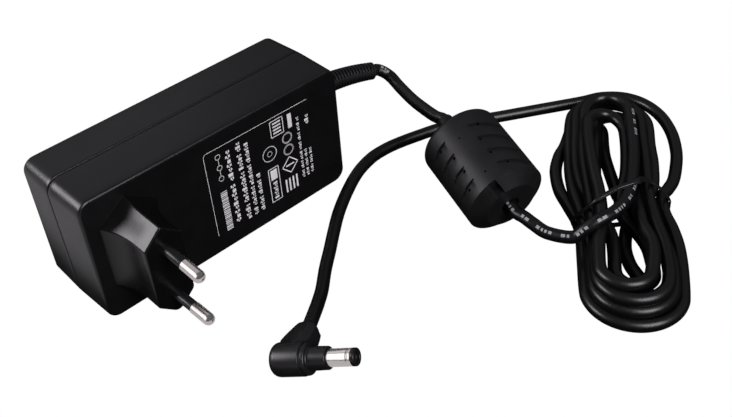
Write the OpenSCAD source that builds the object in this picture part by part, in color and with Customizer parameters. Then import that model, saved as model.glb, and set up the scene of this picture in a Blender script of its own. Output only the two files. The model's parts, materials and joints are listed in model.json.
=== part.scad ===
// Plug-in switching adapter: a two-shell housing with a fixed two-pin mains plug, the
// circuit board inside it, and a DC cord with a strain relief, a ferrite, a tied hank
// and a right-angle barrel plug. The housing stands on its long narrow side.
// X runs from the plug end to the cord end, -Y is the way the mains pins point, +Z is up.

/* [Housing] */
// Length of the housing
body_l = 104; // [100:1:108]
// Height of the housing as it stands
body_h = 49; // [48:0.5:52]
// Depth of the front shell, from the label face to the seam
front_d = 17.5; // [17:0.5:18]
// Depth of the rear shell, from the seam to the back
rear_d = 16.5; // [16:0.5:18]
// Wall thickness of both shells
wall = 2.4; // [2:0.1:2.6]
// Radius of the four long corners
corner_r = 4.6; // [3:0.1:6]
// Height of the cord outlet above the resting face
outlet_z = 30; // [26:1:34]

/* [Mains plug] */
// Distance of the plug's middle from the end of the housing
plug_in = 16.2; // [15:0.1:18]
// How far the plug nose stands out of the label face
nose_d = 19; // [17:0.5:21]
// Width of the nose across its flats
nose_w = 13.7; // [13.5:0.1:13.9]
// Height of the nose over its two pointed ends
nose_h = 35.3; // [35:0.1:35.6]
// Length of each pin outside the nose
pin_l = 19; // [18.5:0.1:19.5]
// Diameter of the bare pins
pin_d = 4; // [3.94:0.01:4.06]
// Spacing of the pins where they leave the nose
pin_gap = 18.6; // [18:0.1:19.2]
// Angle by which each pin leans towards the other
pin_lean = 1.5; // [0:0.1:2]
// Length of the insulating sleeve on each pin
sleeve_l = 10; // [9:0.5:11]
// Diameter of the insulating sleeve
sleeve_d = 3.64; // [3.5:0.02:3.66]

/* [DC cord] */
// Diameter of the cord
cord_d = 4.5; // [4:0.1:5]
// Length of the strain relief outside the housing
relief_l = 30; // [27:1:33]
// Angle by which the strain relief droops from square to the end wall
relief_droop = 9; // [7:1:11]
// Diameter of the strain relief at the housing
relief_root_d = 8.2; // [7.8:0.1:8.8]
// Diameter of the strain relief at its tip
relief_tip_d = 6.6; // [6.2:0.1:7.2]
// Number of ribs on the strain relief
relief_ribs = 20; // [12:1:24]
// Diameter of the ferrite's overmould
ferrite_d = 29; // [28:0.1:30]
// Length of the overmould without its neck
ferrite_l = 34.6; // [33:0.1:38]
// Length of the overmould's neck
ferrite_neck = 9.4; // [8:0.1:12]
// Height of the hank
hank_h = 18; // [17:0.5:20]

/* [Barrel plug] */
// Outside diameter of the metal barrel
barrel_d = 5.5; // [5.45:0.01:5.55]
// Inside diameter of the centre contact
contact_d = 2.5; // [2.45:0.01:2.55]
// Length of bare barrel in front of the neck
barrel_l = 8.2; // [8:0.1:9]
// Diameter of the moulded grip
grip_d = 10.6; // [10:0.1:11]
// Length of the moulded grip along the barrel's axis
grip_l = 12.5; // [11:0.5:13]

/* [Hidden] */
$fn = 48;
EPS = 0.1;

// Planes of the housing, with the whole depth from pin tips to back centred on Y = 0
total_d = pin_l + nose_d + front_d + rear_d;
back_y = total_d / 2;
seam_y = back_y - rear_d;
label_y = seam_y - front_d;
nose_y = label_y - nose_d;
end_x = body_l / 2;
mid_z = body_h / 2;
plug_x = plug_in - end_x;

// Circuit board: it stands parallel to the label face, with its parts towards the label
board_l = 96;
board_w = 41;
board_t = 1.6;
board_y = back_y - wall - 4.2;
sheet_t = 0.3;

// Strain relief: it leaves the end wall at the seam and droops to the floor and the front
relief_tilt = 40;
relief_way = [
    cos(relief_droop),
    -sin(relief_droop) * sin(relief_tilt),
    -sin(relief_droop) * cos(relief_tilt)
];
relief_tip = [end_x, seam_y, outlet_z] + relief_l * relief_way;

// Ferrite: its exit face, and the heading from that face back to the neck
ferrite_at = [68.1, -64.4, 13.5];
ferrite_turn = 74.8;
ferrite_rise = 13;
ferrite_roll = 29.4;
ferrite_way = [
    cos(ferrite_rise) * cos(ferrite_turn), cos(ferrite_rise) * sin(ferrite_turn), sin(ferrite_rise)
];
ferrite_in = ferrite_at + (ferrite_l + ferrite_neck) * ferrite_way;

// Height of the cord's middle where it lies on the floor
lay_z = cord_d / 2 + 0.05;

// Hank: the middle of its lower round end, and the heading to its upper end
hank_at = [72.4, -112.9, 0];
hank_turn = 39;
hank_way = [cos(hank_turn), sin(hank_turn), 0];
hank_side = [-sin(hank_turn), cos(hank_turn), 0];
hank_r = 17.4;
hank_shoulder = 46;
hank_entry = hank_at + 16 * hank_way + hank_r * hank_side + [0, 0, 10];
hank_exit = hank_at + hank_shoulder * hank_way - 14.6 * hank_side + [0, 0, lay_z];

// Barrel plug: the middle of the grip's closed end, and the heading and rise of the barrel
dc_at = [-26.9, -53, 4.6];
dc_turn = -60;
dc_rise = 17.5;
dc_way = [cos(dc_rise) * cos(dc_turn), cos(dc_rise) * sin(dc_turn), sin(dc_rise)];
dc_side = [-sin(dc_turn), cos(dc_turn), 0];
dc_cord_in = dc_at + 6.6 * dc_way + 14.2 * dc_side;
neck_x = 18.5;
barrel_x = neck_x + barrel_l;

// Cord from the strain relief through the ferrite to the hank
lead_route = [
    relief_tip,
    relief_tip + 3 * relief_way,
    [86.7, 12.5, 23.4],
    [85.6, 5.6, 21.6],
    [82.6, -4.3, 21.7],
    [80.3, -13.8, 22.4],
    [79.4, -19.3, 22.8],
    ferrite_in,
    ferrite_in - 4 * ferrite_way,
    ferrite_in - 14 * ferrite_way,
    ferrite_in - 24 * ferrite_way,
    ferrite_in - 34 * ferrite_way,
    ferrite_at,
    ferrite_at - 3.5 * ferrite_way,
    [67.2, -71.2, 12.6],
    [67.3, -75, 11.8],
    [68.2, -80.4, 10.5],
    hank_entry + 3 * hank_side,
    hank_entry
];

// Cord from the hank round its upper end, under the ferrite's neck and to the barrel plug
tail_route = [
    hank_exit,
    hank_exit + 4 * hank_way,
    [128.3, -89.8, lay_z],
    [135.5, -85.8, lay_z],
    [143.2, -80.8, lay_z],
    [152, -72.8, lay_z],
    [158.5, -63.5, lay_z],
    [161.2, -54, lay_z],
    [159.6, -45.5, lay_z],
    [154, -38.8, lay_z],
    [146, -34.6, lay_z],
    [131.6, -26, lay_z],
    [116.2, -16.8, lay_z],
    [105.5, -10, lay_z],
    [95, -5, lay_z],
    [87, -2.4, lay_z],
    [79, -0.2, lay_z],
    [71.8, 1, lay_z],
    [64, 0.8, lay_z],
    [54.5, -2, lay_z],
    [44.2, -7.4, lay_z],
    [34.6, -13.6, lay_z],
    [26.8, -19.7, lay_z],
    [19, -26.2, lay_z],
    [11.4, -32.4, lay_z],
    [3.9, -39.4, 3.2],
    [-1.2, -43.6, 4.2],
    [-5.4, -46.9, 5.3],
    dc_cord_in
];

// ---------- helpers ----------

// A box given by its low and high ends along each axis
module block(x, y, z) {
    translate([x[0], y[0], z[0]])
        cube([x[1] - x[0], y[1] - y[0], z[1] - z[0]]);
}

// A round bar along X between two ends
module bar_x(x0, x1, r) {
    translate([x0, 0, 0])
        rotate([0, 90, 0])
            cylinder(h = x1 - x0, r = r);
}

// An outline in X and Z, extruded along Y between two planes
module along_y(y0, y1) {
    translate([0, y1, 0])
        rotate([90, 0, 0])
            linear_extrude(y1 - y0)
                children();
}

// Housing outline seen from the front, pulled in by an inset
module housing_outline(inset) {
    l = body_l - 2 * inset;
    h = body_h - 2 * inset;
    r = max(corner_r - inset, 1);
    translate([-l / 2, inset]) {
        translate([r, 0])
            square([l - 2 * r, h]);
        translate([0, r])
            square([l, h - 2 * r]);
        for (x = [r, l - r], z = [r, h - r])
            translate([x, z])
                circle(r);
    }
}

// Ring between two insets of the housing outline
module housing_ring(outer, inner) {
    difference() {
        housing_outline(outer);
        housing_outline(inner);
    }
}

// Long six-sided outline of the mains plug nose, grown by a margin
module nose_outline(margin) {
    w = nose_w / 2 + margin;
    h = nose_h / 2 + margin;
    polygon([[0, h], [-w, h - w], [-w, w - h], [0, -h], [w, w - h], [w, h - w]]);
}

// Local frame of one pin: local Z leaves the nose along the pin; side is 1 above, -1 below
module at_pin(side) {
    translate([plug_x, nose_y, mid_z + side * pin_gap / 2])
        rotate([90 + side * pin_lean, 0, 0])
            children();
}

// Local frame of the board's parts side: local Z points away from the board
module on_board(at) {
    translate([at[0], board_y, mid_z + at[1]])
        rotate([90, 0, 0])
            children();
}

// Local frame of the board's solder side
module under_board(at) {
    translate([at[0], board_y + board_t, mid_z + at[1]])
        rotate([-90, 0, 0])
            children();
}

// Straight wire legs standing on the board at each listed place
module legs(places, h, r = 0.35) {
    for (p = places)
        translate([p[0], p[1], 0])
            cylinder(h = h, r = r, $fn = 16);
}

// A disc part standing on edge on two legs
module disc_part(r, t, lift) {
    translate([-t / 2, 0, lift + r])
        bar_x(0, t, r);
    legs([[0, -2.5], [0, 2.5]], lift + 1);
}

// A can with a rolled groove and a pressed vent cross, standing on Z = 0
module can(r, h) {
    groove = r / 12;
    difference() {
        cylinder(h = h, r = r);
        translate([0, 0, 1.5])
            difference() {
                cylinder(h = 0.8, r = r + EPS);
                cylinder(h = 0.8, r = r - groove);
            }
        for (a = [0, 90])
            rotate([0, 0, a])
                translate([-r * 0.7, -0.15, h - 0.2])
                    cube([r * 1.4, 0.3, 1]);
    }
}

// A power transistor with its tab on the +X side, standing on three legs
module power_package() {
    tab_t = 1.3;
    translate([-4.5, -5, 3])
        cube([4.5 - tab_t, 10, 9]);
    translate([-tab_t, 0, 3])
        difference() {
            translate([0, -5, 0])
                cube([tab_t, 10, 15]);
            translate([0, 0, 12])
                bar_x(-EPS, tab_t + EPS, 1.7);
        }
    legs([[-2.5, -2.5], [-2.5, 0], [-2.5, 2.5]], 3);
}

// A folded heatsink plate: its flat side is at X = 0, with a tapped hole at the tab's hole
module heatsink_plate() {
    difference() {
        union() {
            translate([0, -9, 0])
                cube([2, 18, 21]);
            for (y = [-9, 7.4])
                translate([2, y, 4])
                    cube([3, 1.6, 17]);
        }
        translate([0, 0, 15])
            bar_x(-EPS, 2 + EPS, 1.25);
    }
}

// A flat ring core
module ring_core(outer, inner, h) {
    difference() {
        cylinder(h = h, r = outer);
        translate([0, 0, -EPS])
            cylinder(h = h + 2 * EPS, r = inner);
    }
}

// Wire turns round a flat ring core between two angles: each turn wraps the core's section
module ring_turns(outer, inner, h, from, step, count, wire) {
    for (i = [0 : count - 1])
        rotate([0, 0, from + i * step])
            translate([0, wire / 2, 0])
                rotate([90, 0, 0])
                    linear_extrude(wire)
                        difference() {
                            translate([inner - wire, -wire])
                                square([outer - inner + 2 * wire, h + 2 * wire]);
                            translate([inner - fit_gap, 0])
                                square([outer - inner + 2 * fit_gap, h]);
                        }
}

// Frame of the strain relief: local X runs along it from the outlet
module at_relief() {
    translate([end_x, seam_y, outlet_z])
        rotate([-relief_tilt, 0, 0])
            rotate([0, relief_droop, 0])
                children();
}

// Point on a smooth curve through a list, after point i by the share t of the step
function route_point(p, i, t) = let (
    last = len(p) - 1,
    a = p[max(i - 1, 0)],
    b = p[i],
    c = p[min(i + 1, last)],
    d = p[min(i + 2, last)]
) 0.5 * (2 * b + (c - a) * t + (2 * a - 5 * b + 4 * c - d) * t ^ 2 + (3 * b - 3 * c + d - a) * t ^ 3);

// The curve through a list of points, with a number of steps to each stretch
function smooth_route(p, steps) = [
    for (i = [0 : len(p) - 2]) for (s = [0 : steps - 1]) route_point(p, i, s / steps),
    p[len(p) - 1]
];

// Ring of points round a curve's point, square to the curve
function route_ring(p, i, r, sides) = let (
    ahead = p[min(i + 1, len(p) - 1)] - p[max(i - 1, 0)],
    side = cross([0, 0, 1], ahead) / norm(cross([0, 0, 1], ahead)),
    rise = cross(ahead, side) / norm(ahead)
) [for (k = [0 : sides - 1]) p[i] + r * (cos(k * 360 / sides) * rise + sin(k * 360 / sides) * side)];

// A round cord swept along a route
module cord(route, r, sides = 10, steps = 2) {
    p = smooth_route(route, steps);
    rings = len(p);
    points = [for (i = [0 : rings - 1]) each route_ring(p, i, r, sides)];
    skin = [
        for (i = [0 : rings - 2]) for (k = [0 : sides - 1]) let (n = (k + 1) % sides)
            [i * sides + k, i * sides + n, (i + 1) * sides + n, (i + 1) * sides + k]
    ];
    first = [for (k = [sides - 1 : -1 : 0]) k];
    last = [for (k = [0 : sides - 1]) (rings - 1) * sides + k];
    polyhedron(points = points, faces = [first, each skin, last], convexity = 8);
}

// Frames of the ferrite, the hank and the barrel plug
module at_ferrite() {
    translate(ferrite_at)
        rotate([-ferrite_roll, -ferrite_rise, ferrite_turn])
            children();
}

module at_hank() {
    translate(hank_at)
        rotate([0, 0, hank_turn])
            children();
}

module at_dc_plug() {
    translate(dc_at)
        rotate([0, -dc_rise, dc_turn])
            children();
}

// ---------- housing ----------

seam_gap = 0.4;
seam_step = 0.5;
tongue_h = 1.5;
tongue_t = 1;
fit_gap = 0.05;
outlet_r = relief_root_d / 2 + fit_gap;

// The hole for the strain relief, half in each shell
module outlet_hole() {
    translate([0, seam_y, outlet_z])
        bar_x(end_x - wall - EPS, end_x + EPS, outlet_r);
}

module front_shell() {
    color([0.09, 0.09, 0.1])
        difference() {
            union() {
                difference() {
                    along_y(label_y, seam_y)
                        housing_outline(0);
                    along_y(label_y + wall, seam_y + EPS)
                        housing_outline(wall);
                }
                along_y(seam_y - 3, seam_y + tongue_h)
                    housing_ring(wall - tongue_t, wall);
                for (x = [-1, 1], z = [-1, 1])
                    translate([x * (board_l / 2 - 2.5), 0, mid_z + z * (board_w / 2 - 0.65)])
                        block([-1.5, 1.5], [label_y + wall - EPS, board_y], [-0.6, 0.6]);
            }
            along_y(seam_y - seam_gap, seam_y)
                housing_ring(-1, seam_step);
            translate([plug_x, 0, mid_z])
                along_y(label_y - EPS, label_y + wall + EPS)
                    nose_outline(fit_gap);
            outlet_hole();
        }
}

module rear_shell() {
    color([0.08, 0.08, 0.09])
        difference() {
            union() {
                difference() {
                    along_y(seam_y, back_y)
                        housing_outline(0);
                    along_y(seam_y - EPS, back_y - wall)
                        housing_outline(wall);
                }
                for (z = [wall - EPS, body_h - wall - 2.4 + EPS])
                    block([-44, 44], [board_y + board_t, back_y - wall + EPS], [z, z + 2.4]);
            }
            along_y(seam_y - EPS, seam_y + tongue_h + fit_gap)
                housing_ring(wall - tongue_t - fit_gap, wall + EPS);
            outlet_hole();
        }
}

// Plug nose, its flared foot on the label face and its flange behind the wall
module plug_insert() {
    foot_w = 3.6;
    foot_d = 5;
    step_w = 1.2;
    step_d = 1.8;
    flange_y = label_y + wall;
    w = nose_w / 2;
    color([0.07, 0.07, 0.08])
        difference() {
            union() {
                translate([plug_x, 0, mid_z])
                    along_y(nose_y, flange_y + EPS)
                        nose_outline(0);
                translate([plug_x, 0, mid_z])
                    intersection() {
                        along_y(label_y - foot_d, label_y)
                            nose_outline(foot_w);
                        linear_extrude(2 * nose_h, center = true)
                            polygon([
                                [-w - foot_w, label_y], [-w - step_w, label_y - step_d],
                                [-w, label_y - foot_d], [w, label_y - foot_d],
                                [w + step_w, label_y - step_d], [w + foot_w, label_y]
                            ]);
                    }
                translate([plug_x, 0, mid_z])
                    block([-10, 10], [flange_y, flange_y + 2.6], [-19.2, 19.2]);
            }
            for (side = [-1, 1])
                at_pin(side) {
                    translate([0, 0, -40])
                        cylinder(h = 40 + EPS, r = 1.5 + 0.02);
                    translate([0, 0, -3])
                        cylinder(h = 3 + EPS, r = sleeve_d / 2 + 0.02);
                }
        }
}

// ---------- mains pins ----------

pin_root = nose_d + wall + 4;

module mains_pin(side) {
    color([0.78, 0.76, 0.72])
        at_pin(side) {
            translate([0, 0, -pin_root])
                cylinder(h = pin_root + sleeve_l, r = 1.5);
            translate([0, 0, sleeve_l])
                cylinder(h = pin_l - sleeve_l - pin_d / 2, r = pin_d / 2);
            translate([0, 0, pin_l - pin_d / 2])
                sphere(pin_d / 2);
        }
}

module pin_sleeve(side) {
    color([0.05, 0.05, 0.05])
        at_pin(side)
            translate([0, 0, -3])
                difference() {
                    cylinder(h = 3 + sleeve_l, r = sleeve_d / 2);
                    translate([0, 0, -EPS])
                        cylinder(h = 3 + sleeve_l + 2 * EPS, r = 1.5 + 0.01);
                }
}

// Brass strip from the inner end of a pin to the board
module pin_strip(side) {
    inner_y = label_y + wall + 4.4;
    z = mid_z + side * (pin_gap / 2 + 0.6);
    color([0.8, 0.65, 0.3]) {
        block([plug_x - 5, plug_x + 2], [inner_y, inner_y + 0.6], [z - 2, z + 2]);
        block([plug_x - 5, plug_x - 4.4], [inner_y + 0.6, board_y], [z - 1.5, z + 1.5]);
    }
}

module upper_pin() { mains_pin(1); }
module lower_pin() { mains_pin(-1); }
module upper_pin_sleeve() { pin_sleeve(1); }
module lower_pin_sleeve() { pin_sleeve(-1); }
module upper_pin_strip() { pin_strip(1); }
module lower_pin_strip() { pin_strip(-1); }

// ---------- circuit board ----------

module circuit_board() {
    color([0.16, 0.42, 0.2])
        translate([0, 0, mid_z])
            block([-board_l / 2, board_l / 2], [board_y, board_y + board_t], [-board_w / 2, board_w / 2]);
}

module insulation_sheet() {
    color([0.9, 0.88, 0.7])
        block([-43, 43], [back_y - wall - sheet_t, back_y - wall], [mid_z - 19, mid_z + 19]);
}

// ---------- mains side ----------

fuse_at = [-43.8, -12];
varistor_at = [-44.4, 14.4];
thermistor_at = [-44.4, 1.6];
x_capacitor_at = [-34.5, -9];
choke_at = [-22.5, -10.4];
bridge_at = [-35.6, 9.5];
bulk_at = [-32.5, 10.4];
primary_sink_at = [-8.6, -10];
snubber_resistor_at = [12.5, 4.2];
snubber_capacitor_at = [4.8, 6];
auxiliary_at = [6.2, 15.6];
controller_at = [-4, 8];
transformer_at = [8.6, -9.6];

module fuse() {
    color([0.75, 0.7, 0.55])
        on_board(fuse_at) {
            for (y = [-5.5, 3.5])
                translate([0, y, 3.2])
                    rotate([-90, 0, 0])
                        cylinder(h = 2, r = 2.7);
            translate([0, -3.5, 3.2])
                rotate([-90, 0, 0])
                    cylinder(h = 7, r = 2.4);
            legs([[0, -4.5], [0, 4.5]], 1);
        }
}

module varistor() {
    color([0.15, 0.3, 0.7])
        on_board(varistor_at)
            disc_part(4.8, 4, 2.5);
}

module inrush_thermistor() {
    color([0.12, 0.2, 0.12])
        on_board(thermistor_at)
            disc_part(4.6, 4.4, 2.5);
}

module x_capacitor() {
    color([0.85, 0.75, 0.2])
        on_board(x_capacitor_at) {
            translate([-3, -8.5, 0.5])
                cube([6, 17, 12]);
            legs([[0, -7], [0, 7]], 1);
        }
}

module choke_core() {
    color([0.25, 0.25, 0.27])
        on_board(choke_at)
            translate([0, 0, 2])
                ring_core(6.6, 3.8, 6);
}

module choke_windings() {
    color([0.75, 0.4, 0.15])
        on_board(choke_at)
            translate([0, 0, 2])
                for (a = [-54, 126])
                    ring_turns(6.6, 3.8, 6, a, 18, 7, 0.9);
}

module bridge_rectifier() {
    color([0.06, 0.06, 0.06])
        on_board(bridge_at) {
            translate([-1.9, -7.4, 3])
                cube([3.8, 14.8, 10]);
            legs([[0, -5.7], [0, -1.9], [0, 1.9], [0, 5.7]], 3.5);
        }
}

module bulk_capacitor() {
    r = 8.8;
    color([0.1, 0.12, 0.25])
        on_board(bulk_at)
            translate([0, 0, r + 0.2])
                rotate([0, 90, 0])
                    can(r, 32);
}

module switching_transistor() {
    color([0.12, 0.12, 0.13])
        on_board(primary_sink_at)
            power_package();
}

module primary_heatsink() {
    color([0.7, 0.71, 0.73])
        on_board(primary_sink_at)
            heatsink_plate();
}

module snubber_resistor() {
    color([0.3, 0.5, 0.75])
        on_board(snubber_resistor_at) {
            translate([0, 0, 2.4])
                bar_x(-4.5, 4.5, 1.8);
            translate([0, 0, 2.4])
                bar_x(-6, 6, 0.35);
            legs([[-5.65, 0], [5.65, 0]], 2.4);
        }
}

module snubber_capacitor() {
    color([0.8, 0.5, 0.2])
        on_board(snubber_capacitor_at)
            rotate([0, 0, 90])
                disc_part(3, 2.4, 1.5);
}

module pwm_controller() {
    color([0.1, 0.1, 0.1])
        under_board(controller_at) {
            translate([-2.5, -2, 0.15])
                cube([5, 4, 1.45]);
            for (x = [-1.905 : 1.27 : 1.905])
                translate([x - 0.2, -3, 0])
                    cube([0.4, 6, 0.15]);
        }
}

module auxiliary_capacitor() {
    color([0.1, 0.1, 0.12])
        on_board(auxiliary_at)
            can(2.6, 11);
}

// ---------- transformer ----------

core_l = 25;
core_h = 20;
core_w = 7.4;
leg_t = 3.2;
spool_l = core_l - 2 * leg_t;
spool_h = core_h - 2 * leg_t;

module transformer_core() {
    window_h = (core_h - 3 * leg_t - 3.2) / 2;
    color([0.22, 0.22, 0.24])
        on_board(transformer_at)
            translate([-core_l / 2, -core_w / 2, 2.5])
                difference() {
                    cube([core_l, core_w, core_h]);
                    for (z = [leg_t, core_h - leg_t - window_h])
                        translate([leg_t, -EPS, z])
                            cube([spool_l, core_w + 2 * EPS, window_h]);
                }
}

// Spool on the core's middle leg: a tube with a flange at each end
module transformer_bobbin() {
    window_h = (core_h - 3 * leg_t - 3.2) / 2;
    leg_h = core_h - 2 * leg_t - 2 * window_h;
    mid = 2.5 + core_h / 2;
    color([0.15, 0.15, 0.15])
        on_board(transformer_at) {
            difference() {
                union() {
                    translate([-spool_l / 2, -core_w / 2 - 0.8, mid - leg_h / 2 - 0.8])
                        cube([spool_l, core_w + 1.6, leg_h + 1.6]);
                    for (x = [-spool_l / 2, spool_l / 2 - 1])
                        translate([x, -9, mid - spool_h / 2])
                            cube([1, 18, spool_h]);
                }
                translate([-spool_l, -core_w / 2, mid - leg_h / 2])
                    cube([2 * spool_l, core_w, leg_h]);
            }
            for (x = [-spool_l / 2 - 1.2, spool_l / 2 - 0.8])
                translate([x, -9, 0.6])
                    cube([2, 18, 1.6]);
            for (x = [-spool_l / 2, spool_l / 2 - 1], y = [-9, 4.6])
                translate([x, y, 0.6])
                    cube([1, 4.4, mid - spool_h / 2]);
            legs([for (x = [-1, 1], y = [-6 : 3 : 6]) [x * (spool_l / 2 + 0.2), y]], 0.7);
        }
}

module transformer_windings() {
    window_h = (core_h - 3 * leg_t - 3.2) / 2;
    leg_h = core_h - 2 * leg_t - 2 * window_h;
    mid = 2.5 + core_h / 2;
    build = window_h - 1.2;
    color([0.8, 0.65, 0.1])
        on_board(transformer_at)
            difference() {
                translate([1 - spool_l / 2, -core_w / 2 - 0.8 - build, mid - leg_h / 2 - 0.8 - build])
                    cube([spool_l - 2, core_w + 1.6 + 2 * build, leg_h + 1.6 + 2 * build]);
                translate([-spool_l, -core_w / 2 - 0.8, mid - leg_h / 2 - 0.8])
                    cube([2 * spool_l, core_w + 1.6, leg_h + 1.6]);
            }
}

// Tape round the outside of the core
module transformer_tape() {
    tape_t = 0.2;
    color([0.9, 0.75, 0.1])
        on_board(transformer_at)
            translate([-core_l / 2 - tape_t, -core_w / 2 + 0.5, 2.5 - tape_t])
                difference() {
                    cube([core_l + 2 * tape_t, core_w - 1, core_h + 2 * tape_t]);
                    translate([tape_t, -EPS, tape_t])
                        cube([core_l, core_w, core_h]);
                }
}

// ---------- output side ----------

y_capacitor_at = [14.6, 12.6];
optocoupler_at = [19.8, 15.6];
secondary_sink_at = [30, -10];
output_can_at = [[40.6, -14.6], [40.6, -3.6]];
output_choke_at = [32, 11];
lead_pads_x = 44.2;
lead_gap = 3;

module y_capacitor() {
    color([0.2, 0.35, 0.75])
        on_board(y_capacitor_at)
            disc_part(4, 3.2, 2);
}

module optocoupler() {
    color([0.9, 0.9, 0.88])
        on_board(optocoupler_at) {
            translate([-2.3, -3.2, 0.6])
                cube([4.6, 6.4, 3.2]);
            for (x = [-1.27, 1.27])
                translate([x - 0.25, -4, 0])
                    cube([0.5, 8, 0.6]);
        }
}

module output_rectifier() {
    color([0.12, 0.12, 0.13])
        on_board(secondary_sink_at)
            power_package();
}

module secondary_heatsink() {
    color([0.7, 0.71, 0.73])
        on_board(secondary_sink_at)
            heatsink_plate();
}

// Screws that hold both packages to their heatsinks
module heatsink_screws() {
    color([0.75, 0.75, 0.76])
        for (at = [primary_sink_at, secondary_sink_at])
            on_board(at)
                translate([0, 0, 15]) {
                    bar_x(-1.3, 3.5, 1.24);
                    translate([-3.1, 0, 0])
                        difference() {
                            bar_x(0, 1.8, 2.7);
                            for (a = [0, 90])
                                rotate([a, 0, 0])
                                    block([-EPS, 0.8], [-1.6, 1.6], [-0.3, 0.3]);
                        }
                }
}

module output_capacitors() {
    color([0.1, 0.25, 0.2])
        for (at = output_can_at)
            on_board(at)
                can(4.9, 20);
}

module output_choke_core() {
    color([0.8, 0.8, 0.3])
        on_board(output_choke_at)
            translate([0, 0, 2])
                ring_core(5.4, 2.8, 5);
}

module output_choke_winding() {
    color([0.75, 0.4, 0.15])
        on_board(output_choke_at)
            translate([0, 0, 2])
                ring_turns(5.4, 2.8, 5, 0, 24, 12, 0.8);
}

// Chip resistors and capacitors on the solder side
module chip_resistors() {
    color([0.15, 0.15, 0.16])
        for (x = [-20 : 8 : 36], y = [-12, -3, 14])
            under_board([x, y])
                translate([-1, -0.6, 0])
                    cube([2, 1.2, 0.55]);
}

// Two leads from the strain relief's anchor plate, turning down to the board
module output_leads() {
    turn_r = 3;
    lead_r = 0.8;
    anchor_x = end_x - wall - anchor_t;
    color([0.5, 0.08, 0.08])
        for (z = [outlet_z - lead_gap / 2, outlet_z + lead_gap / 2]) {
            translate([0, seam_y, z])
                bar_x(lead_pads_x + turn_r, anchor_x, lead_r);
            translate([lead_pads_x + turn_r, seam_y + turn_r, z])
                rotate([0, 0, 180])
                    rotate_extrude(angle = 90)
                        translate([turn_r, 0])
                            circle(lead_r, $fn = 24);
            translate([lead_pads_x, seam_y + turn_r, z])
                rotate([-90, 0, 0])
                    cylinder(h = board_y - seam_y - turn_r, r = lead_r, $fn = 24);
        }
}

// ---------- cord, strain relief and ferrite ----------

cord_r = cord_d / 2;
anchor_t = 1.4;
rib_start = 0.8;
rib_share = 0.64;

// The end of the cord inside the strain relief
module cord_entry() {
    color([0.05, 0.05, 0.06])
        at_relief()
            bar_x(0, relief_l, cord_r);
}

// Ribbed, tapering strain relief with a root in the end wall and an anchor plate behind it
module strain_relief() {
    pitch = (relief_l - rib_start) / relief_ribs;
    waist_r = relief_tip_d / 2 - 0.5;
    function rib_r(i) = (relief_root_d + (relief_tip_d - relief_root_d) * i / (relief_ribs - 1)) / 2;
    color([0.06, 0.06, 0.07])
        difference() {
            union() {
                translate([0, seam_y, outlet_z]) {
                    bar_x(end_x - wall, end_x, relief_root_d / 2);
                    block([end_x - wall - anchor_t, end_x - wall], [-5.5, 5.5], [-5.5, 5.5]);
                }
                at_relief()
                    rotate([90, 0, 90])
                        rotate_extrude()
                            polygon([
                                [0, -1.2], [waist_r, -1.2],
                                for (i = [0 : relief_ribs - 1]) let (z = rib_start + i * pitch) each [
                                    [waist_r, z], [rib_r(i), z],
                                    [rib_r(i), z + rib_share * pitch], [waist_r, z + rib_share * pitch]
                                ],
                                [waist_r, relief_l], [0, relief_l]
                            ]);
            }
            at_relief()
                bar_x(0, relief_l + EPS, cord_r + fit_gap);
        }
}

module lead_cord() {
    color([0.05, 0.05, 0.06])
        cord(lead_route, cord_r);
}

core_margin = 5;
core_r = 11.5;

// Moulded cover of the ferrite, with its neck, finger grooves and the slot at its exit end
module ferrite_overmould() {
    r = ferrite_d / 2;
    neck_r = 3.4;
    slot_w = 2.4;
    color([0.08, 0.08, 0.09])
        at_ferrite()
            difference() {
                rotate([90, 0, 90])
                    rotate_extrude()
                        polygon([
                            [0, 0], [9.4, 0], [r - 0.6, 2.3], [r, 3.2], [r, ferrite_l - 1.8],
                            [r - 1, ferrite_l - 0.6], [r - 2.8, ferrite_l], [neck_r, ferrite_l],
                            [neck_r, ferrite_l + ferrite_neck], [0, ferrite_l + ferrite_neck]
                        ]);
                bar_x(-EPS, ferrite_l + ferrite_neck + EPS, cord_r + fit_gap);
                bar_x(core_margin, ferrite_l - core_margin, core_r + fit_gap);
                for (x = [8.2 : 6.1 : 27], side = [-1, 1])
                    rotate([side * 46, 0, 0])
                        translate([x, 0, r + 1])
                            rotate([90, 0, 0])
                                cylinder(h = 13, r = 1.8, center = true);
                translate([-EPS, -slot_w / 2, r - 2.4])
                    cube([4, slot_w, 4]);
            }
}

module ferrite_core() {
    color([0.2, 0.2, 0.22])
        at_ferrite()
            difference() {
                bar_x(core_margin, ferrite_l - core_margin, core_r);
                bar_x(0, ferrite_l, 3.2);
            }
}

// ---------- hank ----------

tie_u = 38;
tie_w = 2.4;
tie_t = 1.2;

// Outline of the hank: a round lower end, a narrower round upper end and one loose loop
module hank_outline() {
    upper_r = 16.75;
    upper_u = 86;
    upper_v = 4.9;
    circle(hank_r);
    translate([0, -hank_r])
        square([hank_shoulder, 2 * hank_r]);
    translate([hank_shoulder - EPS, upper_v - upper_r])
        square([upper_u - hank_shoulder + EPS, 2 * upper_r]);
    translate([upper_u, upper_v])
        circle(upper_r);
    translate([56, 12])
        circle(17.4);
}

// Box round the bundle where the tie grips it
module tie_box(grow, width) {
    block(
        [tie_u + tie_w / 2 - width / 2, tie_u + tie_w / 2 + width / 2],
        [-14.5 - grow, 14.5 + grow],
        [tie_t - grow, 16 + grow]
    );
}

module cord_hank() {
    color([0.05, 0.05, 0.06])
        at_hank()
            difference() {
                linear_extrude(hank_h)
                    hank_outline();
                difference() {
                    block([tie_u, tie_u + tie_w], [-hank_r - 1, 40], [-1, hank_h + 1]);
                    tie_box(0, tie_w + 1);
                }
            }
}

module twist_tie() {
    color([0.04, 0.04, 0.04])
        at_hank()
            difference() {
                tie_box(tie_t, tie_w);
                tie_box(0, tie_w + 1);
            }
}

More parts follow.
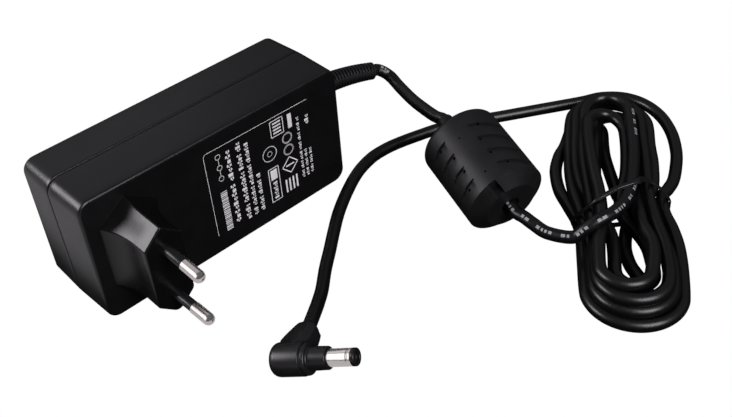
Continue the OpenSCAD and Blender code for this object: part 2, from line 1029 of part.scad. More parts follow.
module tail_cord() {
    color([0.05, 0.05, 0.06])
        cord(tail_route, cord_r, steps = 1);
}

// ---------- barrel plug ----------

barrel_root_x = 12;
barrel_root_r = 2.55;
barrel_bore_r = 2.3;
contact_r = 1.7;
contact_root_x = 13;
tip_l = 1.3;
tip_bore_r = 1.6;

module dc_plug_grip() {
    neck_r = 3.5;
    web_t = 6.4;
    web_top = 14.2;
    color([0.07, 0.07, 0.08])
        at_dc_plug()
            difference() {
                union() {
                    bar_x(2, grip_l, grip_d / 2);
                    rotate([0, 90, 0])
                        cylinder(h = 2 + EPS, r1 = grip_d / 2 - 2, r2 = grip_d / 2);
                    bar_x(grip_l, neck_x, neck_r);
                    linear_extrude(web_t, center = true)
                        polygon([
                            [1.6, 0], [1.6, 4], [0.8, 5.4], [3, 13.2], [3.8, web_top],
                            [9, web_top], [10.9, 11.5], [11, 8.4], [10.2, 4.6], [10.2, 0]
                        ]);
                }
                bar_x(barrel_root_x, neck_x + EPS, barrel_root_r + 0.01);
            }
}

module dc_plug_barrel() {
    color([0.85, 0.83, 0.78])
        at_dc_plug()
            difference() {
                union() {
                    bar_x(barrel_root_x, neck_x, barrel_root_r);
                    bar_x(neck_x, barrel_x, barrel_d / 2);
                }
                bar_x(barrel_root_x - EPS, barrel_x + EPS, barrel_bore_r);
            }
}

module dc_plug_insulator() {
    color([0.04, 0.04, 0.04])
        at_dc_plug()
            difference() {
                union() {
                    bar_x(barrel_root_x, barrel_x, barrel_bore_r - 0.01);
                    bar_x(barrel_x, barrel_x + tip_l, barrel_d / 2);
                }
                bar_x(contact_root_x, barrel_x, contact_r + 0.01);
                bar_x(barrel_x - EPS, barrel_x + tip_l + EPS, tip_bore_r);
            }
}

module dc_plug_contact() {
    color([0.8, 0.7, 0.4])
        at_dc_plug()
            difference() {
                bar_x(contact_root_x, barrel_x, contact_r);
                bar_x(contact_root_x + 0.5, barrel_x + EPS, contact_d / 2);
            }
}

// ---------- nodes ----------

front_shell();
rear_shell();
plug_insert();
upper_pin();
lower_pin();
upper_pin_sleeve();
lower_pin_sleeve();
upper_pin_strip();
lower_pin_strip();
circuit_board();
insulation_sheet();
fuse();
varistor();
inrush_thermistor();
x_capacitor();
choke_core();
choke_windings();
bridge_rectifier();
bulk_capacitor();
switching_transistor();
primary_heatsink();
heatsink_screws();
snubber_resistor();
snubber_capacitor();
pwm_controller();
auxiliary_capacitor();
transformer_core();
transformer_bobbin();
transformer_windings();
transformer_tape();
y_capacitor();
optocoupler();
output_rectifier();
secondary_heatsink();
output_capacitors();
output_choke_core();
output_choke_winding();
chip_resistors();
output_leads();
cord_entry();
strain_relief();
lead_cord();
ferrite_overmould();
ferrite_core();
cord_hank();
twist_tie();
tail_cord();
dc_plug_grip();
dc_plug_barrel();
dc_plug_insulator();
dc_plug_contact();
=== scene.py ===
"""Looks of a plug-in power adapter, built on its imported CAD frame.

The materials and the camera come first, then the cord from end to end, the housing, mains plug,
strain relief, ferrite cover, tie, barrel plug and printing, and last the floor and the lights. Lengths
in the code are millimetres in the frame's own axes, and become metres as each mesh is made.
"""

import json
import math

import bmesh
import bpy
from mathutils import Matrix, Vector

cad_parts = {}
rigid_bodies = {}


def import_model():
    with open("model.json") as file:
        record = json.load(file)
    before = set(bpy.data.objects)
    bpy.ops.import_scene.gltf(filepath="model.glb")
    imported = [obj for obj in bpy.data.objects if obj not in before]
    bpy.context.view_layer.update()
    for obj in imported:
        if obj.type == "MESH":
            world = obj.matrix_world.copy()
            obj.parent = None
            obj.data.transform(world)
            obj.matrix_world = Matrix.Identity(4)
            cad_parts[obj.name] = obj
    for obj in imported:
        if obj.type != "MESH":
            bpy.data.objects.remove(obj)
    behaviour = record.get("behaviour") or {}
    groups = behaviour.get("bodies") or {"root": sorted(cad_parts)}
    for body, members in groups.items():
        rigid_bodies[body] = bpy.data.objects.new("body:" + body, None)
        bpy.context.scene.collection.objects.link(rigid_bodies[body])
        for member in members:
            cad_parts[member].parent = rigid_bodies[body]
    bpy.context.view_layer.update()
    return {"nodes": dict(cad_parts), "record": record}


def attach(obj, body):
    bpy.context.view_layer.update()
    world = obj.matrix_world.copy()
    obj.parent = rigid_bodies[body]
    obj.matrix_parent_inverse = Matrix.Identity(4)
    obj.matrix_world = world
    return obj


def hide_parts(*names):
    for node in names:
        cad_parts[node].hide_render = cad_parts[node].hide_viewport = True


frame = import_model()

MM = 0.001
TAU = 2 * math.pi
WELD = 2e-7  # points nearer than this, in metres, become one
RECORD = frame["record"]

# ---------- the frame's own sizes, as part.scad has them ----------

BODY_L, BODY_H, WALL, CORNER_R = 104, 49, 2.4, 4.6
END_X, MID_Z = BODY_L / 2, BODY_H / 2
NOSE_Y, LABEL_Y, SEAM_Y, BACK_Y = -17, 2, 19.5, 36
PLUG_X, NOSE_W, NOSE_H = -35.8, 13.7, 35.3
PIN_GAP, PIN_LEAN, PIN_L, PIN_R, SLEEVE_L = 18.6, 1.5, 19, 2.0, 10
OUTLET = Vector((END_X, SEAM_Y, 30))
RELIEF_L, RELIEF_BEND, RELIEF_TILT = 30, 18, 40
RELIEF_ROOT_R, RELIEF_TIP_R, RELIEF_RIBS = 4.1, 3.3, 20
CORD_R, CORD_LENGTH, LAY_Z = 2.25, 1.8, 2.3
FERRITE_AT, FERRITE_R = Vector((68.1, -64.4, 13.5)), 14.5
FERRITE_TURN, FERRITE_RISE, FERRITE_ROLL = 74.8, 13, 29.4
FERRITE_L, FERRITE_NECK = 34.6, 9.4
HANK_AT, HANK_TURN = Vector((72.4, -112.9, 0)), 39
DC_AT, DC_TURN, DC_RISE = Vector((-26.9, -53, 4.6)), -60, 17.5
BARREL_R, BARREL_END, DC_END = 2.75, 26.7, 28


def heading(turn, rise=0.0):
    """The direction at a turn about Z from +X and a rise above the table, both in degrees."""
    a, b = math.radians(turn), math.radians(rise)
    return Vector((math.cos(b) * math.cos(a), math.cos(b) * math.sin(a), math.sin(b)))


FERRITE_WAY = heading(FERRITE_TURN, FERRITE_RISE)
HANK_WAY, HANK_SIDE = heading(HANK_TURN), heading(HANK_TURN + 90)
DC_WAY, DC_SIDE = heading(DC_TURN, DC_RISE), heading(DC_TURN + 90)
FERRITE_IN = FERRITE_AT + (FERRITE_L + FERRITE_NECK) * FERRITE_WAY


def in_hank(u, v, z):
    """A place given along the hank, to its side, and above the table."""
    return HANK_AT + u * HANK_WAY + v * HANK_SIDE + Vector((0, 0, z))


def in_plug(x, y, z=0.0):
    """A place given along the barrel plug, to its side, and above its middle line."""
    return DC_AT + x * DC_WAY + y * DC_SIDE + z * DC_WAY.cross(DC_SIDE)


# ---------- mesh helpers ----------


def mesh_of(name, verts, faces, weld=False, outward=True):
    """A mesh from points in millimetres, welded and with its faces turned outwards if asked."""
    mesh = bpy.data.meshes.new(name)
    mesh.from_pydata([tuple(Vector(v) * MM) for v in verts], [], faces)
    bm = bmesh.new()
    bm.from_mesh(mesh)
    if weld:
        bmesh.ops.remove_doubles(bm, verts=bm.verts, dist=WELD)
        bmesh.ops.dissolve_degenerate(bm, edges=bm.edges, dist=WELD / 2)
    if outward:
        bmesh.ops.recalc_face_normals(bm, faces=bm.faces)
    bm.to_mesh(mesh)
    bm.free()
    return mesh


def smooth_but(mesh, sharp):
    """Smooth shading, with the edges that bend more than this many degrees left sharp."""
    mesh.shade_smooth()
    mesh.set_sharp_from_angle(angle=math.radians(sharp))


def piece_of(name, mesh, material):
    """The mesh as a piece of the adapter and its material."""
    obj = bpy.data.objects.new(name, mesh)
    bpy.context.collection.objects.link(obj)
    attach(obj, "root")
    mesh.materials.append(MATERIALS[material])
    return obj


def make(name, verts, faces, slot, replaces, sharp):
    """A closed piece in place of CAD nodes: welded, facing outwards, smooth but for its sharp edges."""
    mesh = mesh_of(name, verts, faces, weld=True)
    smooth_but(mesh, sharp)
    obj = piece_of(name, mesh, slot)
    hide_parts(*replaces)
    return obj


def loft(rings, caps=(True, True), inset=0.0):
    """Points and faces of a skin through rings of equal count.

    An end with a cap is closed, behind a narrow inset ring unless inset is 0.
    """
    rings = [list(r) for r in rings]
    for end, cap in zip((0, -1), caps):
        if cap and inset:
            ring = rings[end]
            middle = sum((Vector(p) for p in ring), Vector()) / len(ring)
            inner = []
            for p in ring:
                way = middle - Vector(p)
                inner.append(Vector(p) + way * min(1.0, inset / max(way.length, 1e-6)))
            rings.insert(0, inner) if end == 0 else rings.append(inner)
    n = len(rings[0])
    verts = [p for r in rings for p in r]
    faces = []
    for i in range(len(rings) - 1):
        a, b = i * n, (i + 1) * n
        faces += [(a + k, a + (k + 1) % n, b + (k + 1) % n, b + k) for k in range(n)]
    if caps[0]:
        faces.append(tuple(range(n - 1, -1, -1)))
    if caps[1]:
        faces.append(tuple((len(rings) - 1) * n + k for k in range(n)))
    return verts, faces


def axes_for(way, up=Vector((0, 0, 1))):
    """Two directions square to a way: to its side, and as near up as it allows."""
    side = up.cross(way).normalized()
    return side, way.cross(side).normalized()


def circle(middle, radius, first, second, count):
    """Points round a circle, from its first direction towards its second."""
    angles = (TAU * k / count for k in range(count))
    return [middle + radius * (math.cos(a) * first + math.sin(a) * second) for a in angles]


def lathe(origin, way, profile, segments):
    """Rings of a turned form: profile holds (distance along the way, radius)."""
    way = way.normalized()
    side, rise = axes_for(way)
    rings = []
    for s, r in profile:
        r = max(r, 1e-4)
        c = origin + s * way
        rings.append(circle(c, r, rise, side, segments))
    return rings


def fillet(points, radii, steps):
    """A closed 2-D polygon, each corner rounded to its own radius with the same number of points."""
    out = []
    n = len(points)
    for i, (p, r) in enumerate(zip(points, radii)):
        p = Vector(p)
        a, b = Vector(points[i - 1]) - p, Vector(points[(i + 1) % n]) - p
        half = a.angle(b) / 2
        reach = min(r / math.tan(half), 0.49 * a.length, 0.49 * b.length)
        r = reach * math.tan(half)
        centre = p + (a.normalized() + b.normalized()).normalized() * (r / math.sin(half))
        t0 = p + a.normalized() * reach - centre
        t1 = p + b.normalized() * reach - centre
        turn = t0.angle_signed(t1, 0.0) if r > 1e-9 else 0.0
        for k in range(steps + 1):
            c, s = math.cos(-turn * k / steps), math.sin(-turn * k / steps)
            out.append(centre + Vector((c * t0.x - s * t0.y, s * t0.x + c * t0.y)))
    return out


def soften(profile, radii, steps):
    """An open polyline with its inner corners rounded to the radii given (0 keeps a corner)."""
    out = [Vector(profile[0])]
    for i in range(1, len(profile) - 1):
        r = radii[i]
        p = Vector(profile[i])
        a, b = Vector(profile[i - 1]) - p, Vector(profile[i + 1]) - p
        if r <= 0 or a.length < 1e-6 or b.length < 1e-6:
            out.append(p)
            continue
        half = a.angle(b) / 2
        reach = min(r / math.tan(half), 0.49 * a.length, 0.49 * b.length)
        p0, p1 = p + a.normalized() * reach, p + b.normalized() * reach
        for k in range(steps + 1):
            t = k / steps
            out.append((1 - t) ** 2 * p0 + 2 * t * (1 - t) * p + t * t * p1)
    out.append(Vector(profile[-1]))
    return [(q.x, q.y) for q in out]


def cut(obj, cutters, sharp):
    """Cuts a list of (points, faces) out of an object, and makes the result its mesh."""
    tools = []
    for verts, faces in cutters:
        mesh = mesh_of("tool", verts, faces, weld=True)
        mesh.shade_smooth()
        tool = bpy.data.objects.new("tool", mesh)
        bpy.context.collection.objects.link(tool)
        mod = obj.modifiers.new("cut", "BOOLEAN")
        mod.operation, mod.object, mod.solver = "DIFFERENCE", tool, "EXACT"
        tools.append(tool)
    bpy.context.view_layer.update()
    graph = bpy.context.evaluated_depsgraph_get()
    made = bpy.data.meshes.new_from_object(obj.evaluated_get(graph))
    material = obj.data.materials[0]
    obj.modifiers.clear()
    old, obj.data = obj.data, made
    made.name = obj.name
    bpy.data.meshes.remove(old)
    made.materials.clear()
    made.materials.append(material)
    smooth_but(made, sharp)
    for tool in tools:
        mesh = tool.data
        bpy.data.objects.remove(tool)
        bpy.data.meshes.remove(mesh)


def between(a, b, c, d, t):
    """The place at t, 0 to 1, between b and c of a smooth line through a, b, c and d."""
    bow, twist = 2 * a - 5 * b + 4 * c - d, 3 * b - 3 * c + d - a
    return 0.5 * (2 * b + (c - a) * t + bow * t**2 + twist * t**3)


def catmull(points, steps):
    """A smooth line through points, as part.scad's own routes are smoothed."""
    last = len(points) - 1
    out = []
    for i in range(last):
        near = points[max(i - 1, 0)], points[i], points[i + 1], points[min(i + 2, last)]
        out += [between(*near, s / steps) for s in range(steps)]
    return out + [points[-1]]


# ---------- materials ----------


def surface(name, kind):
    """A new material whose surface is one shader of the kind given."""
    mat = bpy.data.materials.new(name)
    mat.use_nodes = True
    tree = mat.node_tree
    tree.nodes.clear()
    out = tree.nodes.new("ShaderNodeOutputMaterial")
    shader = tree.nodes.new(kind)
    tree.links.new(shader.outputs[0], out.inputs["Surface"])
    return mat, tree, shader


def noise(tree, coords, scale, detail, rough):
    """A noise over the surface, from 0 to 1."""
    tex = tree.nodes.new("ShaderNodeTexNoise")
    tex.inputs["Scale"].default_value = scale
    tex.inputs["Detail"].default_value = detail
    tex.inputs["Roughness"].default_value = rough
    tree.links.new(coords, tex.inputs["Vector"])
    return tex.outputs["Fac"]


def spread(tree, value, low, high, start=0.3, end=0.7):
    """The value mapped from start..end to low..high, held at its ends."""
    node = tree.nodes.new("ShaderNodeMapRange")
    for key, v in zip(("From Min", "From Max", "To Min", "To Max"), (start, end, low, high)):
        node.inputs[key].default_value = v
    tree.links.new(value, node.inputs["Value"])
    return node.outputs["Result"]


def moulded(name, color, rough, grain=0.35, depth=0.012, mottle=0.18, metallic=0.0, specular=0.5):
    """Plastic, rubber, paint or metal: fine grain in the surface, slow mottling in colour and gloss."""
    mat, tree, shader = surface(name, "ShaderNodeBsdfPrincipled")
    where = tree.nodes.new("ShaderNodeTexCoord").outputs["Object"]
    slow = noise(tree, where, 120.0, 5.0, 0.6)
    fine = noise(tree, where, 1000.0 / grain, 3.0, 0.6)
    mix = tree.nodes.new("ShaderNodeMix")
    mix.data_type = "RGBA"
    low = [c * (1 - mottle) for c in color[:3]] + [1.0]
    high = [min(1.0, c * (1 + mottle)) for c in color[:3]] + [1.0]
    mix.inputs["A"].default_value = low
    mix.inputs["B"].default_value = high
    tree.links.new(spread(tree, slow, 0.0, 1.0), mix.inputs["Factor"])
    tree.links.new(mix.outputs["Result"], shader.inputs["Base Color"])
    gloss = tree.nodes.new("ShaderNodeMath")
    gloss.operation = "ADD"
    tree.links.new(spread(tree, slow, rough * 0.9, rough * 1.08), gloss.inputs[0])
    tree.links.new(spread(tree, fine, -0.03, 0.03), gloss.inputs[1])
    tree.links.new(gloss.outputs[0], shader.inputs["Roughness"])
    bump = tree.nodes.new("ShaderNodeBump")
    bump.inputs["Strength"].default_value = 1.0
    bump.inputs["Distance"].default_value = depth * MM
    tree.links.new(fine, bump.inputs["Height"])
    tree.links.new(bump.outputs["Normal"], shader.inputs["Normal"])
    shader.inputs["Metallic"].default_value = metallic
    shader.inputs["Specular IOR Level"].default_value = specular
    return mat


CLASS_LOOK = {
    "matte_plastic": dict(rough=0.45, grain=0.3, depth=0.01),
    "gloss_plastic": dict(rough=0.22, grain=0.8, depth=0.004),
    "rubber": dict(rough=0.6, grain=0.25, depth=0.012),
    "chrome": dict(rough=0.16, metallic=1.0, grain=0.5, depth=0.0006, mottle=0.05),
    "brass": dict(rough=0.28, metallic=1.0, grain=0.5, depth=0.001, mottle=0.1),
    "aluminium": dict(rough=0.36, metallic=1.0, grain=0.4, depth=0.002, mottle=0.08),
    "brushed_steel": dict(rough=0.3, metallic=1.0, grain=0.3, depth=0.002, mottle=0.08),
}
# The black plastics show almost no colour of their own: their tone is this share of the record's colour
SLOT_LOOK = {
    "housing_black": dict(rough=0.34, grain=0.32, depth=0.010, mottle=0.12, tone=0.14),
    "plug_black": dict(rough=0.25, grain=0.4, depth=0.006, mottle=0.15, tone=0.14, specular=0.4),
    "sleeve_black": dict(rough=0.32, grain=0.6, depth=0.002, tone=0.3),
    "pin_nickel": dict(rough=0.2, metallic=1.0, grain=0.6, depth=0.0002, mottle=0.06),
    "barrel_nickel": dict(rough=0.2, metallic=1.0, grain=0.6, depth=0.0002, mottle=0.06),
    "cord_black": dict(rough=0.34, grain=0.9, depth=0.002, mottle=0.15, tone=0.12),
    "relief_black": dict(rough=0.4, grain=0.4, depth=0.006, mottle=0.2, tone=0.3),
    "overmould_black": dict(
        rough=0.5, grain=0.35, depth=0.010, mottle=0.2, tone=0.25, specular=0.36
    ),
    "tie_black": dict(rough=0.34, grain=0.5, depth=0.006, mottle=0.2, tone=0.3),
    "grip_black": dict(rough=0.36, grain=0.5, depth=0.005, mottle=0.18, tone=0.3),
    "tip_black": dict(rough=0.3, grain=0.5, depth=0.001, mottle=0.1, tone=0.5),
}
MATERIALS = {}
for m in RECORD["materials"]:
    look = dict(CLASS_LOOK.get(m["class"], CLASS_LOOK["matte_plastic"]))
    look.update(SLOT_LOOK.get(m["slot"], {}))
    tone = look.pop("tone", 1.0)
    MATERIALS[m["slot"]] = moulded(m["slot"], [tone * c for c in m["base_color"]], **look)
for word, color, mottle in (("white", (0.93, 0.93, 0.93), 0.12), ("grey", (0.30, 0.30, 0.31), 0.2)):
    ink = f"print_{word}"
    MATERIALS[ink] = moulded(ink, color, rough=0.5, grain=0.25, depth=0.004, mottle=mottle)

for part in RECORD["subparts"]:
    node = frame["nodes"][part["node"]]
    node.data.materials.clear()
    node.data.materials.append(MATERIALS[part["material_slot"]])

# ---------- camera ----------

camera = bpy.data.objects.new("camera", bpy.data.cameras.new("camera"))
bpy.context.collection.objects.link(camera)
camera.data.lens = 50
camera.data.sensor_width = 36
camera.data.clip_start = 0.01
camera.data.clip_end = 20
view_right = Vector((0.72639, -0.68453, -0.06144))
view_up = Vector((0.47483, 0.43522, 0.76493))
view_back = Vector((-0.49688, -0.58481, 0.64117))
turn = Matrix((view_right, view_up, view_back)).transposed().to_4x4()
camera.matrix_world = Matrix.Translation((-0.13814, -0.23193, 0.23537)) @ turn
bpy.context.scene.camera = camera

# ---------- cord: one line from the housing to the barrel plug ----------

CORD_STEPS = 8  # points of the line for each point of the route
DASH_LIFT, DASH_HALF, DASH_GAP, GROUP_GAP = 0.025, 13, 0.55, 2.6


def relief_point(s):
    """Where the strain relief's middle line is, this far from the outlet: it droops along an arc."""
    bend = math.radians(RELIEF_BEND)
    r = RELIEF_L / bend
    a = s / r
    t = math.radians(RELIEF_TILT)
    down = Vector((0, -math.sin(t), -math.cos(t)))
    return OUTLET + Vector((r * math.sin(a), 0, 0)) + r * (1 - math.cos(a)) * down


def relief_way(s):
    """Which way the strain relief's middle line runs there."""
    return (relief_point(s + 0.05) - relief_point(s - 0.05)).normalized()


def vectors(*points):
    """The points as vectors."""
    return [Vector(p) for p in points]


# The lead: through the strain relief, down to the ferrite, through it, and on to the hank
LEAD = [relief_point(s) for s in (0, 6, 12, 18, 24, 30)] + [relief_point(30) + 3 * relief_way(30)]
LEAD += vectors((86.7, 12.5, 23.4), (85.6, 5.6, 21.6), (82.6, -4.3, 21.7))
LEAD += vectors((80.3, -13.8, 22.4), (79.4, -19.3, 22.8))
LEAD += [FERRITE_IN - d * FERRITE_WAY for d in (0, 4, 14, 24, 34)]
LEAD += [FERRITE_AT, FERRITE_AT - 3.5 * FERRITE_WAY]
LEAD += vectors((67.2, -71.2, 12.6), (67.3, -75, 11.8), (68.2, -80.4, 10.5))


def bend(u, v, ru, rv, start, end, z0, z1, count=7):
    """Points round a fold of the hank, from one angle to another and one height to another."""
    out = []
    for k in range(count):
        t = k / (count - 1)
        a = math.radians(start + (end - start) * t)
        out.append((u + ru * math.cos(a), v + rv * math.sin(a), z0 + (z1 - z0) * t))
    return out


# The hank, turn by turn: distance along it, distance to its side, and height
HANK = [(16, 19.8, 10.2), (16.8, 15.8, 13.4), (18.6, 11.4, 16), (22, 7.2, 16.2), (27, 3.9, 15.8)]
HANK += [(33, 1.6, 15.2), (39, 0.2, 14.8), (47, -0.8, 14.4), (56, -1.6, 14.2), (66, -2, 14)]
HANK += [(76, -2, 13.6)]
HANK += bend(84.4, 6.2, 11.0, 8.1, -90, 90, 13.4, 10.8, 9)
HANK += [(75, 14.5, 10.6), (66, 15.2, 10.4), (56, 15, 10.2), (46, 14.2, 10), (36, 13.4, 9.8)]
HANK += [(28, 13, 9.6), (20, 12.8, 9.5), (11, 12.7, 9.5)]
HANK += bend(0.3, 1.5, 11.2, 11.2, 90, 270, 9.5, 9.3)
HANK += [(8, -9.8, 9.2), (16, -9.4, 9), (24, -8, 9), (32, -6.8, 9), (40, -6.2, 9), (50, -6.2, 9)]
HANK += [(62, -6.4, 9), (74, -6.3, 8.8)]
HANK += bend(86, 5.4, 11.6, 11.7, -90, 90, 8.8, 9)
HANK += [(76, 17.3, 8.8), (66, 17.6, 8), (56, 17.4, 7.4), (46, 16, 7.2), (37, 12.8, 6.7), (29, 9, 6.4)]
HANK += [(21, 6.8, 6.4), (13, 6.4, 6.4)]
HANK += bend(4.6, 0.4, 6.2, 6.1, 90, 270, 6.4, 6)
HANK += [(12, -5.4, 5.6), (19, -4.4, 5.2), (26, -1.2, 5.6), (32.5, 3, 7), (40, 3, 9), (48, 1.2, 10)]
HANK += [(56, 0.3, 10), (66, -0.2, 10)]
HANK += bend(75, 6.7, 9.0, 6.9, -90, 90, 10, 14.2, 9)
HANK += [(66, 13.7, 14.4), (56, 13.2, 14.4), (46, 12.3, 14.2), (36, 11, 13.6), (27, 10.5, 12.9)]
HANK += [(20, 10.8, 12.4), (11, 11.9, 12.4)]
HANK += bend(0.8, 3.9, 8, 8.2, 90, 270, 12.4, 12)
HANK += [(8, -5.2, 12), (15, -4.8, 11.6), (22, -2.8, 11.2), (28, -2.2, 10.8), (34, -2.2, 9.2)]
HANK += [(41, -3.4, 6.6), (50, -4.4, 5), (62, -3.8, 5.4), (74, -3.4, 6)]
HANK += bend(84, 3.3, 6.8, 6.7, -90, 90, 6.4, 6.2)
HANK += [(75, 10.1, 5.4), (66, 10.4, 3.8), (57, 10.6, 2.5), (48, 11, 2.3), (38, 11.6, 2.3)]
HANK += [(28, 12, 2.3), (19, 12, 2.3), (10, 12.2, 2.3)]
HANK += bend(0.3, 3.6, 8.6, 8.6, 90, 180, 2.3, 2.3, 5)
HANK += bend(-1.2, 3.2, 7.1, 7.1, 190, 270, 2.3, 2.3, 4)
HANK += [(5, -2.2, 2.3), (12, 0.8, 2.3), (19, 2, 2.3), (26, 1.6, 2.3), (33, 0.2, 2.3)]
HANK += [(41, -3.6, 2.3), (50, -8.6, 4), (62, -9.8, 5.2), (74, -9.6, 5.2)]
HANK += bend(86, 4.6, 14.2, 14.4, -90, 90, 5.2, 6.6, 9)
HANK += [(76, 19.6, 6.2), (66, 19.6, 5), (56, 19.5, 4.8), (46, 18.6, 5), (37, 17, 5.4), (28, 15.4, 5.8)]
HANK += [(20, 14.2, 5.9), (11, 13.6, 5.9)]
HANK += bend(0.3, 1, 12.5, 12.5, 90, 270, 5.8, 5.6, 9)
HANK += [(9, -11.8, 5.5), (17, -11, 5.3), (25, -9, 5.4), (32, -5.6, 5.6), (37, -1.6, 5.2)]
HANK += [(42, 1.4, 4), (48, 3.2, 2.5), (54.7, 4.2, 2.3), (62, 5.4, 2.3), (70, 6.5, 2.3), (78, 6.8, 2.3)]
HANK += bend(85, 13, 6.3, 6.2, -90, 90, 2.3, 2.3)
HANK += [(76, 21.2, 2.3), (69.6, 23.4, 2.3), (60.5, 24.6, 2.3), (50, 23.4, 2.3), (41.4, 20.4, 2.3)]
HANK += [(33, 17.4, 2.3), (25, 16.2, 2.3), (13, 15.9, 2.3)]
HANK += bend(0.2, 0.4, 15.0, 15.2, 90, 270, 2.3, 2.3, 11)
HANK += [(8, -15.3, 2.3), (16, -15.5, 2.3), (24, -15.2, 2.3), (32, -14, 2.3), (40, -12.2, 2.3)]
# The tail: out of the hank, round beside it, past the housing and up into the barrel plug
TAIL = [in_hank(48.5, -12.4, LAY_Z), in_hank(53, -14.8, LAY_Z), in_hank(58, -17, LAY_Z)]
TAIL += [
    Vector((x, y, LAY_Z))
    for x, y in (
        (135.5, -85.8), (143.2, -80.8), (152, -72.8), (158.5, -63.5), (161.2, -54), (159.6, -45.5),
        (154, -38.8), (146, -34.6), (131.6, -26), (116.2, -16.8), (105.5, -10), (95, -5), (87, -2.4),
        (79, -0.2), (71.8, 1), (64, 0.8), (54.5, -2), (44.2, -7.4), (34.6, -13.6), (26.8, -19.7),
        (19, -26.2), (11.4, -32.4),
    )
]
TAIL += vectors((3.9, -39.4, 3.2), (-1.2, -43.6, 4.2), (-5.4, -46.9, 5.3))
TAIL += [in_plug(6.6, 14.2), in_plug(6.6, 11), in_plug(6.6, 8)]

route = LEAD + [in_hank(*p) for p in HANK] + TAIL
line = catmull(route, CORD_STEPS)
run = [0.0]  # how far along the cord each point of the line is
for a, b in zip(line, line[1:]):
    run.append(run[-1] + (b - a).length)

curve = bpy.data.curves.new("cord", "CURVE")
curve.dimensions = "3D"
curve.bevel_depth = CORD_R * MM
curve.bevel_resolution = 7
curve.use_fill_caps = True
curve.twist_mode = "Z_UP"
spline = curve.splines.new("POLY")
spline.points.add(len(line) - 1)
for point, p in zip(spline.points, line):
    point.co = (*(p * MM), 1.0)
spline.use_smooth = True
curve.materials.append(MATERIALS["cord_black"])
cord = bpy.data.objects.new("cord", curve)
bpy.context.collection.objects.link(cord)
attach(cord, "root")
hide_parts("cord_entry", "lead_cord", "cord_hank", "tail_cord")


def on_cord(s):
    """A place this far along the cord, with the directions to its side and up."""
    i = max(1, min(len(run) - 2, next(k for k, v in enumerate(run) if v >= s)))
    t = (s - run[i - 1]) / (run[i] - run[i - 1])
    way = (line[min(i + 1, len(line) - 1)] - line[i - 1]).normalized()
    return line[i - 1].lerp(line[i], t), *axes_for(way)


def cord_dashes(first, last, words, tilt, steps=4):
    """Printed dashes between two distances along the cord, turned by tilt degrees from its top.

    They are patches laid on its skin in groups of uneven length, and hold no lettering.
    """
    verts, faces = [], []
    s, index = first, 0
    while s < last:
        for length in words[index % len(words)]:
            if s + length > last:
                break
            base = len(verts)
            for k in range(steps + 1):
                p, side, rise = on_cord(s + length * k / steps)
                for j in range(steps + 1):
                    a = math.radians(tilt - DASH_HALF + 2 * DASH_HALF * j / steps)
                    out = math.cos(a) * rise + math.sin(a) * side
                    verts.append(p + (CORD_R + DASH_LIFT) * out)
            for k in range(steps):
                for j in range(steps):
                    q = base + k * (steps + 1) + j
                    faces.append((q, q + 1, q + steps + 2, q + steps + 1))
            s += length + DASH_GAP
        s += GROUP_GAP
        index += 1
    return verts, faces


# ---------- housing ----------

GROOVE_DEPTH = 0.62  # of the seam
SHELL_EDGE, DRAFT, HOLE_GAP = 1.0, 0.5, 0.3
FLARE_Y, FLARE_X, FLARE_Z = -11, 3.6, 1.6


def housing_ring(y, inset):
    """The housing's outline at a plane along Y, pulled in by an inset."""
    l, h = END_X - inset, BODY_H - inset
    r = max(CORNER_R + 0.4 - inset, 0.8)
    box = [(-l, inset), (l, inset), (l, h), (-l, h)]
    return [Vector((p.x, y, p.y)) for p in fillet(box, [r] * 4, 10)]


def nose_ring(y, mx=0.0, mz=0.0, inset=0.0):
    """The plug nose's six-sided outline at a plane along Y, grown to its sides and its pointed ends."""
    w, h = NOSE_W / 2, NOSE_H / 2
    shoulder = h - w + 0.8 + 0.35 * mz
    hexagon = [
        (0, h + mz - 1.4 * inset),
        (w + mx - inset, shoulder - 0.4 * inset),
        (w + mx - inset, -shoulder + 0.4 * inset),
        (0, -h - mz + 1.4 * inset),
        (-w - mx + inset, -shoulder + 0.4 * inset),
        (-w - mx + inset, shoulder - 0.4 * inset),
    ]
    radii = [max(r - 0.5 * inset, 0.15) for r in (0.6, 1.4, 2.2, 2.6, 2.2, 1.1)]
    return [Vector((PLUG_X + p.x, y, MID_Z + p.y)) for p in fillet(hexagon, radii, 6)]


def draft(y):
    """How far the moulding draft pulls the outline in, away from the seam."""
    reach = (SEAM_Y - y) / (SEAM_Y - LABEL_Y) if y < SEAM_Y else (y - SEAM_Y) / (BACK_Y - SEAM_Y)
    return DRAFT * reach


